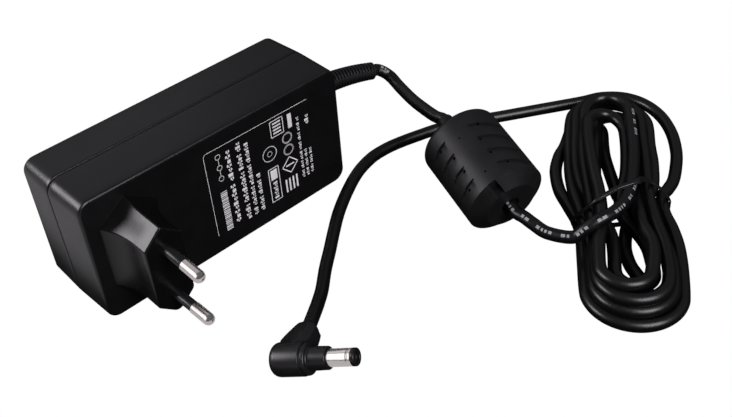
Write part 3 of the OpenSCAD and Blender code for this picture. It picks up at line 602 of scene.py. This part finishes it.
def shell(name, seam, face, inner_face, hole_y, replaces):
    """One half of the housing: outer skin from the seam groove to the rounded face, and inner skin.

    With hole_y, the plug nose's outline is cut through its face, down to that plane.
    """
    way = 1 if face > seam else -1
    steps = [(seam, GROOVE_DEPTH), (seam + way * 0.2, GROOVE_DEPTH), (seam + way * 0.27, 0.2)]
    steps += [(seam + way * 0.36, 0.07), (seam + way * 0.55, draft(seam + way * 0.55))]
    edge_y = face - way * SHELL_EDGE
    for t in (0.12, 0.35, 0.6, 0.85, 1.0):
        y = seam + (edge_y - seam) * t
        steps.append((y, draft(y)))
    top = draft(edge_y)
    for k in range(1, 7):
        a = math.pi / 2 * k / 6
        steps.append((edge_y + way * SHELL_EDGE * math.sin(a), top + SHELL_EDGE * (1 - math.cos(a))))
    steps.append((face, top + SHELL_EDGE + 0.5))
    outer = [housing_ring(y, i) for y, i in steps]
    inner = [housing_ring(inner_face, WALL + 0.3), housing_ring(seam, WALL)]
    bm = bmesh.new()

    def add(ring):
        return [bm.verts.new(p) for p in ring]

    def join(a, b):
        for k in range(len(a)):
            m = (k + 1) % len(a)
            bm.faces.new((a[k], a[m], b[m], b[k]))

    def edges(ring):
        pairs = [(ring[k], ring[(k + 1) % len(ring)]) for k in range(len(ring))]
        return [bm.edges.get(pair) or bm.edges.new(pair) for pair in pairs]

    rings = [add(r) for r in outer]
    for a, b in zip(rings, rings[1:]):
        join(a, b)
    inside = [add(r) for r in inner]
    join(inside[0], inside[1])
    join(inside[1], rings[0])
    if hole_y is None:
        bm.faces.new(rings[-1])
        bm.faces.new(inside[0])
    else:
        out_hole, in_hole = (add(nose_ring(y, HOLE_GAP, HOLE_GAP)) for y in (face, hole_y))
        join(out_hole, in_hole)
        for big, small in ((rings[-1], out_hole), (inside[0], in_hole)):
            bmesh.ops.triangle_fill(bm, edges=edges(big) + edges(small), use_beauty=True)
    verts = [v.co.copy() for v in bm.verts]
    bm.verts.index_update()
    faces = [tuple(v.index for v in f.verts) for f in bm.faces]
    bm.free()
    make(name, verts, faces, "housing_black", replaces, sharp=40)


shell("housing_front", SEAM_Y, LABEL_Y, LABEL_Y + WALL, LABEL_Y + WALL, ["front_shell"])
shell("housing_rear", SEAM_Y, BACK_Y, BACK_Y - WALL, None, ["rear_shell"])

# ---------- plug nose and pins ----------

NOSE_EDGE = 0.7

nose = [nose_ring(NOSE_Y, inset=NOSE_EDGE)]
for k in range(1, 6):
    a = math.pi / 2 * k / 5
    nose.append(nose_ring(NOSE_Y + NOSE_EDGE * (1 - math.cos(a)), inset=NOSE_EDGE * (1 - math.sin(a))))
nose += [nose_ring(y) for y in (-15, -13, FLARE_Y)]
for k in range(1, 19):
    t = k / 18
    nose.append(nose_ring(FLARE_Y + (LABEL_Y - FLARE_Y) * t, mx=FLARE_X * t**2.3, mz=FLARE_Z * t**2))
nose.append(nose_ring(LABEL_Y + 0.2, mx=FLARE_X, mz=FLARE_Z))
nose.append(nose_ring(LABEL_Y + 0.25))
nose.append(nose_ring(LABEL_Y + WALL + 2.6))
make("plug_nose", *loft(nose, inset=0.5), "plug_black", ["plug_insert"], sharp=28)


def pin_frame(side):
    """Where a mains pin starts on the nose, and the way it leans in."""
    lean = math.radians(PIN_LEAN)
    origin = Vector((PLUG_X, NOSE_Y, MID_Z + side * PIN_GAP / 2))
    return origin, Vector((0, -math.cos(lean), -side * math.sin(lean)))


BARE_FROM = SLEEVE_L + 0.12
for side, word in ((1, "upper"), (-1, "lower")):
    origin, way = pin_frame(side)
    body = [(-22, 0), (-22, 1.5), (SLEEVE_L - 0.05, 1.5), (SLEEVE_L - 0.05, 1.85), (BARE_FROM, PIN_R)]
    body += [(BARE_FROM + (PIN_L - BARE_FROM - PIN_R) * t, PIN_R) for t in (0.3, 0.7, 1.0)]
    for k in range(1, 13):
        a = math.pi / 2 * k / 12
        body.append((PIN_L - PIN_R + PIN_R * math.sin(a), PIN_R * math.cos(a) ** 0.9))
    skin = loft(lathe(origin, way, body, 64))
    make(f"{word}_pin_metal", *skin, "pin_nickel", [f"{word}_pin"], sharp=30)
    sleeve = [(-3, 1.52), (-3, 1.82), (SLEEVE_L - 0.25, 1.82), (SLEEVE_L - 0.08, 1.74)]
    sleeve += [(SLEEVE_L - 0.06, 1.52)]
    rings = lathe(origin, way, sleeve, 64)
    skin = loft(rings + [rings[0]], caps=(False, False))
    make(f"{word}_pin_collar", *skin, "sleeve_black", [f"{word}_pin_sleeve"], sharp=40)

# ---------- strain relief ----------

RELIEF_COUNT = 72  # points round the strain relief
SLOT_DEPTH, SLOT_SHARE, SLOT_TWIST, TIP_EDGE = 0.85, 0.66, 12, 0.9


def held(value):
    """The value, kept between 0 and 1."""
    return min(1.0, max(0.0, value))


def relief_radius(t, s, angle):
    """Radius of the ribbed length: slots over and under it, with a plain spine down each side."""
    rib = RELIEF_ROOT_R + (RELIEF_TIP_R - RELIEF_ROOT_R) * s / RELIEF_L
    if t is None:
        return rib
    up = held(t / 0.1) * held((SLOT_SHARE - t) / 0.1)
    across = abs(math.sin(angle - math.radians(SLOT_TWIST)))
    spine = held((across - 0.93) / 0.03)
    return rib - SLOT_DEPTH * (1 - max(up * (2 - up), spine))


# Each ring's distance along the relief, and where it is in its rib's pitch, or None where it is plain
stations = [(-WALL, None), (0.0, None), (0.9, None)]
pitch = (RELIEF_L - 2.4) / RELIEF_RIBS
for i in range(RELIEF_RIBS):
    for t in (0.8, 0.96, 0.98, 1.0, 1.04, 1.08, 1.3, 1.56, 1.6, 1.64, 1.66, 1.7):
        stations.append((0.2 + (i + t) * pitch, t % 1.0))
stations += [(stations[-1][0] + d, None) for d in (0.1, 0.5, 1.0)]
rings = []
for s, t in stations:
    s = min(s, RELIEF_L)
    c = relief_point(s)
    side, rise = axes_for(relief_way(s))
    ring = []
    for k in range(RELIEF_COUNT):
        a = TAU * k / RELIEF_COUNT
        r = RELIEF_ROOT_R if s <= 0 else relief_radius(t, s, a)
        ring.append(c + r * (math.cos(a) * rise + math.sin(a) * side))
    rings.append(ring)
for k in range(1, 7):
    a = math.pi / 2 * k / 6
    s = RELIEF_L - TIP_EDGE + TIP_EDGE * math.sin(a)
    side, rise = axes_for(relief_way(s))
    r = RELIEF_TIP_R - TIP_EDGE + TIP_EDGE * math.cos(a)
    rings.append(circle(relief_point(s), r, rise, side, RELIEF_COUNT))
make("relief", *loft(rings, inset=0.3), "relief_black", ["strain_relief"], sharp=50)

# ---------- ferrite cover ----------

GRIP_EDGES = (9.0, 15.0, 21.3, 27.3)
GRIP_REACH, GRIP_DEPTH = 4.4, 0.62
CONE_L, CONE_DROP, SHOULDER_L, SHOULDER_DROP = 3.4, 5.1, 2.6, 2.8
SEGMENTS, RING_STEP = 300, 0.36
ANGLES = [360 * k / SEGMENTS - 180 for k in range(SEGMENTS)]
HOLES = ((7.6, 34), (13.6, 22.3), (20.1, 22.3), (26.3, 33.8))
UP_SIDE, UP_RISE = axes_for(FERRITE_WAY)


def slant(u, angle):
    """How far the finger grips' edges bend towards the exit end, going down either side."""
    reach = max(0.0, -angle - 19) / 41 * 2.6 if angle < 0 else max(0.0, angle - 38) / 30 * 1.4
    return min(reach, 2.8) * held((u - 3.2) / 5.8) * held((32.6 - u) / 4.6)


def ferrite_radius(u, angle):
    """Radius of the cover: cone at the exit end, rounded shoulder, and two rows of scalloped grips."""
    r = FERRITE_R
    if u < CONE_L:
        r -= CONE_DROP * (1 - u / CONE_L)
    if u > FERRITE_L - SHOULDER_L:
        t = (u - (FERRITE_L - SHOULDER_L)) / SHOULDER_L
        r -= SHOULDER_DROP * (1 - math.sqrt(max(0.0, 1 - t * t)))
    off = abs(angle)
    low, full, fade, end = (17, 25, 62, 80) if angle < 0 else (19, 27, 44, 62)
    mask = held((off - low) / (full - low)) * held((end - off) / (end - fade))
    mask *= mask * (3 - 2 * mask)
    for edge in GRIP_EDGES:
        t = (edge - u) / GRIP_REACH
        if 0 <= t <= 1:
            r -= GRIP_DEPTH * (1 - t) ** 1.5 * mask
        lip = (u - edge) / 0.9
        if angle < 0 and 0 < lip < 1:
            r += 0.16 * (1 - lip) ** 2 * mask
        if angle > 0 and -0.16 < edge - u < 0.34 and 18 < off < 40:
            r -= 0.5 * min(1.0, (off - 18) / 2) * min(1.0, (40 - off) / 2)
    return r


def around(x, angle, r):
    """A point on a circle round the ferrite, its angle counted from the middle of the grip pattern."""
    a = math.radians(angle + FERRITE_ROLL)
    return FERRITE_AT + x * FERRITE_WAY + r * (math.cos(a) * UP_RISE + math.sin(a) * UP_SIDE)


def round_ring(x, r):
    """A plain ring round the ferrite's middle line."""
    return [around(x, angle, r) for angle in ANGLES]


# Where the rings stand along the cover: evenly, with more at the grips' edges and on the shoulder
xs = [0.0, 0.05, 0.2, 0.5]
x = 0.9
while x < FERRITE_L - 2.8:
    xs.append(x)
    x += RING_STEP
for edge in GRIP_EDGES:
    xs = [v for v in xs if abs(v - edge) > 0.5]
    xs += [edge + d for d in (-0.42, -0.35, -0.3, -0.06, -0.01, 0.05, 0.1, 0.15, 0.25, 0.45)]
shoulder = FERRITE_L - SHOULDER_L
xs = sorted(xs) + [shoulder + SHOULDER_L * math.sin(math.pi / 2 * k / 12) for k in range(13)]
face = [round_ring(x, r) for x, r in ((1.2, 2.3), (1.2, 3.1), (0.0, 3.4), (0.0, 6.0), (0.0, 8.8))]
rings = [[around(u - slant(u, angle), angle, ferrite_radius(u, angle)) for angle in ANGLES] for u in xs]
neck = [(0, 9.0), (0.05, 5.6), (0.3, 4.4), (1.0, 3.75), (2.0, 3.5), (6.6, 3.15), (8.3, 3.0)]
neck += [(9.1, 2.75), (FERRITE_NECK, 2.3)]
rings += [round_ring(FERRITE_L + x, r) for x, r in neck]
skin = loft(face + rings)
cover = make("ferrite_cover", *skin, "overmould_black", ["ferrite_overmould"], sharp=32)


def pit(x, degrees, radius, deep):
    """A round core-pin hole, square to the cover's skin."""
    at, skin = around(x, degrees, FERRITE_R - deep), around(x, degrees, FERRITE_R)
    out = (skin - at).normalized()
    other = out.cross(FERRITE_WAY)
    ends = ((0, radius * 0.9), (deep + 3, radius))
    return loft([circle(at + h * out, r, FERRITE_WAY, other, 20) for h, r in ends])


def slot_box():
    """The square-ended slot through the cone at the cover's exit end."""
    out = []
    for x in (-1, 3.5):
        for y in (-1.4, 1.4):
            for z in (8.9, FERRITE_R + 3):
                a = math.degrees(math.atan2(y, z)) + 2
                out.append(around(x, a, math.hypot(y, z)))
    return out, [(0, 1, 3, 2), (4, 6, 7, 5), (0, 4, 5, 1), (2, 3, 7, 6), (0, 2, 6, 4), (1, 5, 7, 3)]


pits = [pit(x, side * angle, 0.62, 2.4) for x, angle in HOLES for side in (-1, 1)]
pits += [pit(8.1, 0, 0.4, 1.4), pit(24.5, 0, 0.4, 1.4), slot_box()]
cut(cover, pits, sharp=32)

# ---------- twist tie ----------

TIE_STEPS = 6
# Its route round the hank's waist, in the hank's own directions
TIE = [(37.5, -1.4, 17.3), (34.5, 4.6, 16.9), (31.2, 9.2, 16.3), (29.6, 12, 15.4), (29.4, 14, 13.2)]
TIE += [(29.8, 15.9, 10.4), (30.4, 17.6, 7.8), (31, 19, 5), (31.6, 18.8, 1.9), (32.4, 14, 0.5)]
TIE += [(34, 6, 0.5), (36, -2, 0.5), (39, -9, 0.5), (42, -12.6, 0.5), (44.2, -14.3, 1.6)]
TIE += [(45, -14.3, 3.8), (45, -12.2, 6.8), (44.6, -9.4, 10.2), (44, -6.4, 12.6), (41.4, -3.4, 15.4)]
loop = [in_hank(*p) for p in TIE]
smooth = []
for i in range(len(loop)):
    near = [loop[(i + j) % len(loop)] for j in (-1, 0, 1, 2)]
    smooth += [between(*near, k / TIE_STEPS) for k in range(TIE_STEPS)]
middle = sum(smooth, Vector()) / len(smooth)
# Its section: a thin flat strip with the wire's ridge along its middle
section = [(-1.15, 0), (-1.1, 0.14), (-0.5, 0.16), (-0.3, 0.38), (0, 0.46), (0.3, 0.38)]
section += [(0.5, 0.16), (1.1, 0.14), (1.15, 0), (1.1, -0.1), (0, -0.12), (-1.1, -0.1)]
rings = []
for i, p in enumerate(smooth):
    way = (smooth[(i + 1) % len(smooth)] - smooth[i - 1]).normalized()
    across = (HANK_WAY - way * HANK_WAY.dot(way)).normalized()
    out = way.cross(across).normalized()
    if out.dot(p - middle) < 0:
        out = -out
    rings.append([p + a * across + b * out for a, b in section])
verts, faces = loft(rings + [rings[0]], caps=(False, False))
make("tie", verts, faces, "tie_black", ["twist_tie"], sharp=40)

# ---------- barrel plug ----------

grip = [(0, 0), (0, 5.3), (10.6, 5.3), (10.75, 4.75), (11.2, 4.7), (11.35, 5.1), (12.5, 5.0)]
grip += [(12.5, 3.7), (18.8, 3.55), (18.8, 2.7), (17.4, 2.7), (17.4, 0)]
grip = soften(grip, [0, 3.0, 0.25, 0.1, 0.1, 0.15, 1.5, 0.5, 1.2, 0.15, 0, 0], 7)
skin = loft(lathe(DC_AT, DC_WAY, grip, 96))
make("plug_grip", *skin, "grip_black", ["dc_plug_grip"], sharp=30)


def fin_ring(y, x0, x1, ridge, low, high):
    """A slice of the fin between the grip and the cord: a flat kite with its crease at the ridge."""
    shape = [(x0, -low), (ridge, -high), (x1, -low), (x1, low), (ridge, high), (x0, low)]
    return [in_plug(p.x, y, p.y) for p in fillet(shape, [0.9, 0.8, 0.7, 0.7, 0.5, 0.9], 5)]


fin = [
    fin_ring(0, 1.7, 10.2, 6.4, 3.4, 4.9),
    fin_ring(3.2, 1.6, 10.3, 7.2, 3.4, 4.7),
    fin_ring(5.2, 0.9, 10.6, 8.4, 3.1, 4.4),
    fin_ring(6.8, 1.2, 10.9, 8.6, 2.9, 4.1),
    fin_ring(8.4, 1.6, 11.0, 8.8, 2.7, 3.8),
    fin_ring(10.2, 2.1, 10.95, 9.0, 2.4, 3.5),
    fin_ring(11.6, 2.5, 10.8, 9.1, 2.2, 3.2),
    fin_ring(12.8, 2.9, 9.9, 8.6, 2.0, 3.0),
    fin_ring(13.7, 3.3, 9.4, 8.2, 1.8, 2.8),
    fin_ring(14.2, 3.9, 9.0, 7.8, 1.5, 2.5),
]
make("plug_fin", *loft(fin, inset=0.4), "grip_black", ["dc_plug_grip"], sharp=24)


def turned(name, profile, radii, steps, slot, node):
    """A hollow turned piece on the barrel plug's middle line, from its softened profile."""
    rings = lathe(DC_AT, DC_WAY, soften(profile, radii, steps), 72)
    make(name, *loft(rings + [rings[0]], caps=(False, False)), slot, [node], sharp=30)


barrel = [(12, 2.3), (12, 2.55), (18.4, 2.55), (18.4, BARREL_R), (25.2, BARREL_R), (25.4, 2.6)]
barrel += [(25.7, 2.6), (25.9, BARREL_R), (BARREL_END, BARREL_R), (BARREL_END, 2.3)]
radii = [0, 0, 0, 0.1, 0.15, 0.1, 0.1, 0.15, 0.2, 0]
turned("plug_barrel", barrel, radii, 4, "barrel_nickel", "dc_plug_barrel")
tip = [(13, 1.72), (13, 2.28), (BARREL_END, 2.28), (BARREL_END, BARREL_R), (DC_END, BARREL_R)]
tip += [(DC_END, 1.6), (27, 1.6), (27, 1.72)]
turned("plug_tip", tip, [0, 0, 0, 0.2, 0.45, 0.35, 0, 0], 5, "tip_black", "dc_plug_insulator")

# ---------- printing ----------

WORDS = ((1.1, 0.8, 1.2), (0.9, 1.3), (1.2, 0.7, 0.7, 1.0), (1.4, 0.9))
PRINT_LIFT, PRINT_ROOT = 0.03, 0.02

verts, faces = [], []
for first, last, tilt in ((33, 38, -20), (118, 178, -40), (206, 224, -30)):
    more, quads = cord_dashes(first, last, WORDS, tilt)
    faces += [tuple(len(verts) + i for i in quad) for quad in quads]
    verts += more
mesh = mesh_of("cord_print", verts, faces, outward=False)
mesh.shade_smooth()
piece_of("cord_print", mesh, "print_grey")


def label_shapes():
    """Generic marks on the label face, by (x, z): bars, rings and outlines, with no lettering."""
    quads = []

    def bar(x0, x1, z0, z1):
        quads.append([(x0, z0), (x1, z0), (x1, z1), (x0, z1)])

    def stroke(points, width, closed=True):
        n = len(points)
        for i in range(n if closed else n - 1):
            a, b = Vector(points[i]), Vector(points[(i + 1) % n])
            way = (b - a).normalized()
            side = Vector((-way.y, way.x)) * width / 2
            a, b = a - way * width * 0.15, b + way * width * 0.15
            quads.append([tuple(a + side), tuple(a - side), tuple(b - side), tuple(b + side)])

    def ring(x, z, r, width, steps):
        angles = [TAU * k / steps for k in range(steps + 1)]
        stroke([(x + r * math.cos(a), z + r * math.sin(a)) for a in angles], width, closed=False)

    def row(x0, x1, z0, z1, words, pitch, first=0):
        """A row of notched blocks along Z that stands for a line of small print."""
        z, i, left, high = z0, first, words[first % len(words)], x1 - x0
        while z + pitch < z1:
            wide = pitch * (0.74, 0.5, 0.7, 0.76, 0.3, 0.66)[(i * i + i) % 6]
            top = x0 + high * (0, 0.3, 0, 0.3)[i % 4]
            if i % 3 == 1:
                bar(top, x1, z, z + wide)
            else:
                bar(top, x1 - 0.62 * (x1 - top), z, z + wide)
                bar(x1 - 0.38 * (x1 - top), x1, z, z + wide)
                bar(top, x1, z, z + 0.36 * wide)
            z += wide + 0.24 * pitch
            left -= 1
            i += 1
            if left == 0:
                left = words[i % len(words)]
                z += 0.7 * pitch

    frame_line = [(-6.2, 8)]
    for k in range(9):
        a = math.pi / 2 * k / 8
        frame_line.append((-4.9 - 1.3 * math.cos(a), 41.0 + 1.3 * math.sin(a)))
    stroke(frame_line + [(37.6, 42.1)], 0.16, closed=False)
    # A strip of plain stripes, three rings on a line, and the rows of small print
    z = 8.0
    for k in range(22):
        wide = (0.45, 0.25, 0.6, 0.3, 0.5)[k % 5]
        bar(-2.4, 0.2, z, z + wide)
        z += wide + (0.38, 0.26, 0.42)[k % 3]
    for z in (38.8, 34.4, 30.0):
        ring(-0.9, z, 0.95, 0.28, 24)
    for z in (35.6, 31.2):
        stroke([(-0.9, z), (-0.9, z + 2)], 0.2, closed=False)
    row(1.9, 3.8, 9.0, 40.0, (9, 8, 9), 1.9)
    row(6.3, 8.2, 7.6, 41.0, (10, 5, 12), 1.35, 1)
    row(9.7, 11.3, 7.6, 39.4, (5, 8, 3, 6), 1.1, 2)
    row(12.7, 14.3, 7.6, 24.6, (6, 4, 5), 1.1, 3)
    ring(19.5, 28.7, 2.9, 0.3, 48)
    ring(19.5, 28.7, 0.55, 1.1, 16)
    stroke([(17.8, 8.2), (22.2, 8.2), (22.2, 22.4), (17.8, 22.4)], 0.3)
    bar(18.6, 21.4, 17.4, 21.6)
    row(19.1, 20.9, 9.2, 17.0, (9,), 1.1, 4)
    stroke([(21.2, 34.4), (26.6, 34.4), (26.6, 40.8), (21.2, 40.8)], 0.3)
    for k in range(4):
        bar(22.2, 25.6, 35.4 + 1.3 * k, 36.0 + 1.3 * k)
    bar(28.7, 30.4, 34.6, 40.3)
    ring(27.6, 31.2, 1.9, 0.62, 36)
    ring(27.6, 26.2, 1.9, 0.62, 36)
    stroke([(24.0, 19.8), (27.4, 23.2), (30.8, 19.8), (27.4, 16.4)], 0.42)
    bar(25.6, 29.2, 19.5, 20.1)
    for k in range(4):
        bar(24.4 + 1.6 * k, 25.1 + 1.6 * k, 8.8, 14.4)
    row(32.2, 33.3, 11.0, 38.0, (7, 4, 6, 9), 0.9, 5)
    row(34.2, 35.3, 11.0, 23.0, (6, 4), 0.9, 1)
    row(36.3, 37.4, 11.4, 23.0, (4, 7), 0.9, 2)
    row(35.8, 37.5, 32.4, 37.8, (4,), 1.4, 3)
    return quads


verts, faces = [], []
for quad in label_shapes():
    base = len(verts)
    verts += [Vector((x, y, z)) for y in (LABEL_Y - PRINT_LIFT, LABEL_Y + PRINT_ROOT) for x, z in quad]
    faces += [(base, base + 1, base + 2, base + 3), (base + 7, base + 6, base + 5, base + 4)]
    for k in range(4):
        m = (k + 1) % 4
        faces.append((base + k, base + 4 + k, base + 4 + m, base + m))
piece_of("label_print", mesh_of("label_print", verts, faces), "print_white")

print("cord length", round(run[-1], 1), "mm")

# ---------- floor, lights and world ----------

FLOOR_HALF, FLOOR_Z = 4, -0.0004
corners = [(x * FLOOR_HALF, y * FLOOR_HALF, FLOOR_Z) for x, y in ((-1, -1), (1, -1), (1, 1), (-1, 1))]
floor_mesh = bpy.data.meshes.new("floor")
floor_mesh.from_pydata(corners, [], [(0, 1, 2, 3)])
floor = bpy.data.objects.new("floor", floor_mesh)
bpy.context.collection.objects.link(floor)
white, tree, glow = surface("floor_white", "ShaderNodeEmission")
glow.inputs["Color"].default_value = (1, 1, 1, 1)
glow.inputs["Strength"].default_value = 1.0
floor_mesh.materials.append(white)
floor.visible_diffuse = False
floor.visible_glossy = False
floor.visible_shadow = False

# The camera sees a white world. Everything else sees a dim one, darker below than above.
world = bpy.data.worlds.new("world")
bpy.context.scene.world = world
world.use_nodes = True
tree = world.node_tree
tree.nodes.clear()
out = tree.nodes.new("ShaderNodeOutputWorld")
dim = tree.nodes.new("ShaderNodeBackground")
dim.inputs["Color"].default_value = (1.0, 0.95, 1.02, 1)
axes = tree.nodes.new("ShaderNodeSeparateXYZ")
tree.links.new(tree.nodes.new("ShaderNodeTexCoord").outputs["Generated"], axes.inputs[0])
strength = spread(tree, axes.outputs["Z"], 0.015, 0.15, start=-0.05, end=0.45)
tree.links.new(strength, dim.inputs["Strength"])
bright = tree.nodes.new("ShaderNodeBackground")
bright.inputs["Color"].default_value = (1, 1, 1, 1)
bright.inputs["Strength"].default_value = 1.0
rays = tree.nodes.new("ShaderNodeLightPath")
pick = tree.nodes.new("ShaderNodeMixShader")
tree.links.new(rays.outputs["Is Camera Ray"], pick.inputs[0])
tree.links.new(dim.outputs[0], pick.inputs[1])
tree.links.new(bright.outputs[0], pick.inputs[2])
tree.links.new(pick.outputs[0], out.inputs["Surface"])

AIM, FLOOR_LIGHT_Z = (0.02, -0.03, 0.02), 1.0005
DOWN = (0, 0, -1)


def area_light(name, way, distance, size, radiance, target=AIM, pieces=None, only=True):
    """A soft panel seen from the target in a given direction, as bright as its radiance says.

    It lights only the pieces given, or with only=False all but them.
    """
    data = bpy.data.lights.new(name, "AREA")
    data.shape = "RECTANGLE"
    data.size, data.size_y = size
    data.energy = radiance * math.pi * size[0] * size[1]
    data.color = (1.0, 0.96, 1.0)
    obj = bpy.data.objects.new(name, data)
    bpy.context.collection.objects.link(obj)
    obj.location = Vector(target) + Vector(way).normalized() * distance
    obj.rotation_mode = "QUATERNION"
    obj.rotation_quaternion = Vector(way).to_track_quat("Z", "Y")
    obj.visible_camera = False
    if pieces:
        group = bpy.data.collections.new(name)
        for piece in pieces:
            group.objects.link(piece)
        for item in group.collection_objects:
            item.light_linking.link_state = "INCLUDE" if only else "EXCLUDE"
        obj.light_linking.receiver_collection = group


metals = [bpy.data.objects[n] for n in ("upper_pin_metal", "lower_pin_metal", "plug_barrel")]
for piece in metals:
    piece.visible_diffuse = False
    piece.visible_glossy = False
around_them = dict(pieces=metals, only=False)
area_light("key_left", (-0.66, 0.60, 0.45), 1.3, (0.7, 0.5), 8.5, **around_them)
area_light("back_glow", (0.1, 0.8, 0.6), 1.3, (0.9, 0.4), 0.31)
area_light("print_fill", (-0.1, -0.75, 0.62), 1.2, (0.7, 0.7), 8, **around_them)
area_light("left_floor", DOWN, 1, (0.9, 0.9), 0.46, target=(-0.51, 0.25, FLOOR_LIGHT_Z), **around_them)
area_light("metal_key", (-0.70, 0.30, 0.45), 1.3, (1.4, 1.2), 1.35, pieces=metals)
area_light("metal_floor", DOWN, 1, (1.6, 1.6), 0.55, target=(-0.45, -0.2, FLOOR_LIGHT_Z), pieces=metals)
area_light("metal_sky", (0.1, 0.8, 0.8), 1.5, (2.0, 1.2), 0.3, pieces=metals)

scene = bpy.context.scene
scene.view_settings.view_transform = "Standard"
scene.view_settings.look = "None"
